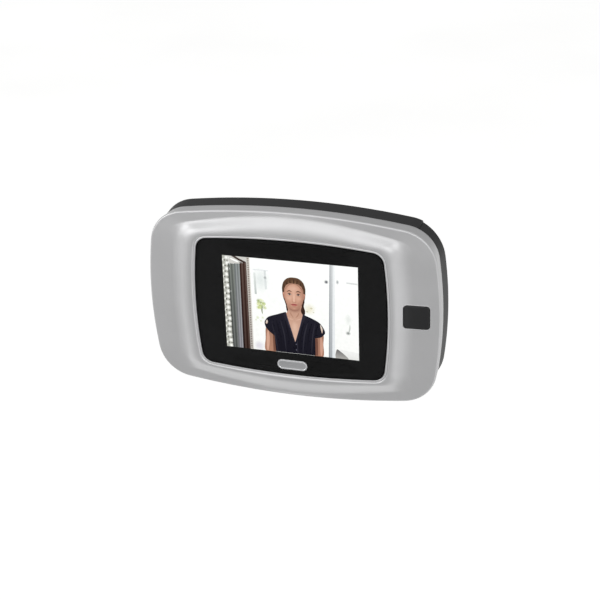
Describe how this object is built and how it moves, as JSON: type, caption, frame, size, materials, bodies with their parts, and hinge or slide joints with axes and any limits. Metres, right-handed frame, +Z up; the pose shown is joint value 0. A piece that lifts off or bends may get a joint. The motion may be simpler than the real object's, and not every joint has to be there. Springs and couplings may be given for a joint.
{
  "type": "peephole door camera",
  "caption": "Indoor screen unit hung on a door plate, with a clamping barrel through the door to a small round outdoor camera.",
  "frame": {"origin": "on the inner face of the door, at the centre of the peephole bore", "axes": "+Y through the door from the room to the outside, +Z up, +X to the right as seen from the room"},
  "size_m": [0.1248, 0.0648, 0.0828],
  "materials": {
    "silver": "satin silver paint",
    "window": "gloss, black border",
    "screen": "gloss",
    "tape": "matte",
    "housing": "fine texture",
    "button": "satin",
    "white_plastic": "matte",
    "foam": "foam",
    "board": "solder mask",
    "chip": "matte",
    "flex": "polyimide film",
    "steel": "zinc plated",
    "screw": "dark zinc",
    "contact": "nickel plated",
    "cell": "printed sleeve",
    "barrel": "nickel plated",
    "head": "satin chrome",
    "rubber": "matte",
    "lens": "coated",
    "lens_black": "matte"
  },
  "bodies": {
    "door_mount": {"mounting_plate": "steel"},
    "monitor": {"front_bezel": "silver", "rear_housing": "housing", "display_window": "window", "window_gasket": "tape", "lcd_panel": "screen", "backlight_frame": "white_plastic", "foam_pads": "foam", "display_flex": "flex", "main_board": "board", "main_chips": "chip", "ribbon_connector": "white_plastic", "board_screws": "screw", "button_board": "board", "switch_body": "contact", "button_flex": "flex", "battery_tray": "housing", "battery_cell_1": "cell", "battery_cell_2": "cell", "battery_cell_3": "cell", "contact_plates": "contact", "contact_springs": "contact", "housing_screws": "screw", "ribbon_cable": "flex"},
    "button": {"front_button": "button", "switch_plunger": "chip"},
    "cover": {"battery_cover": "housing"},
    "sleeve": {"barrel_sleeve": "barrel"},
    "camera": {"camera_housing": "head", "door_gasket": "rubber", "cover_glass": "lens", "front_lens": "lens", "rear_lens": "lens", "lens_barrel": "lens_black", "image_sensor": "chip", "sensor_board": "board"}
  },
  "joints": [
    {"name": "monitor_lift", "type": "slide", "parent": "door_mount", "child": "monitor", "axis": [0, 0, 1], "range_m": [0, 0.005], "deforming": ["ribbon_cable"]},
    {"name": "button_press", "type": "slide", "parent": "monitor", "child": "button", "axis": [0, 1, 0], "range_m": [0, 0.0004], "stiffness_N_per_m": 2500, "springref_m": -0.0001},
    {"name": "cover_slide", "type": "slide", "parent": "monitor", "child": "cover", "axis": [1, 0, 0], "range_m": [0, 0.036]},
    {"name": "barrel_turn", "type": "hinge", "parent": "door_mount", "child": "sleeve", "pos_m": [0, 0, 0], "axis": [0, 1, 0], "range_deg": [-7200, 1800]},
    {"name": "camera_travel", "type": "slide", "parent": "door_mount", "child": "camera", "axis": [0, 1, 0], "range_m": [-0.00501, 0.02001], "deforming": ["ribbon_cable"]}
  ],
  "couplings": [
    {"joint": "camera_travel", "follows": "barrel_turn", "m_per_rad": -0.00015915}
  ]
}
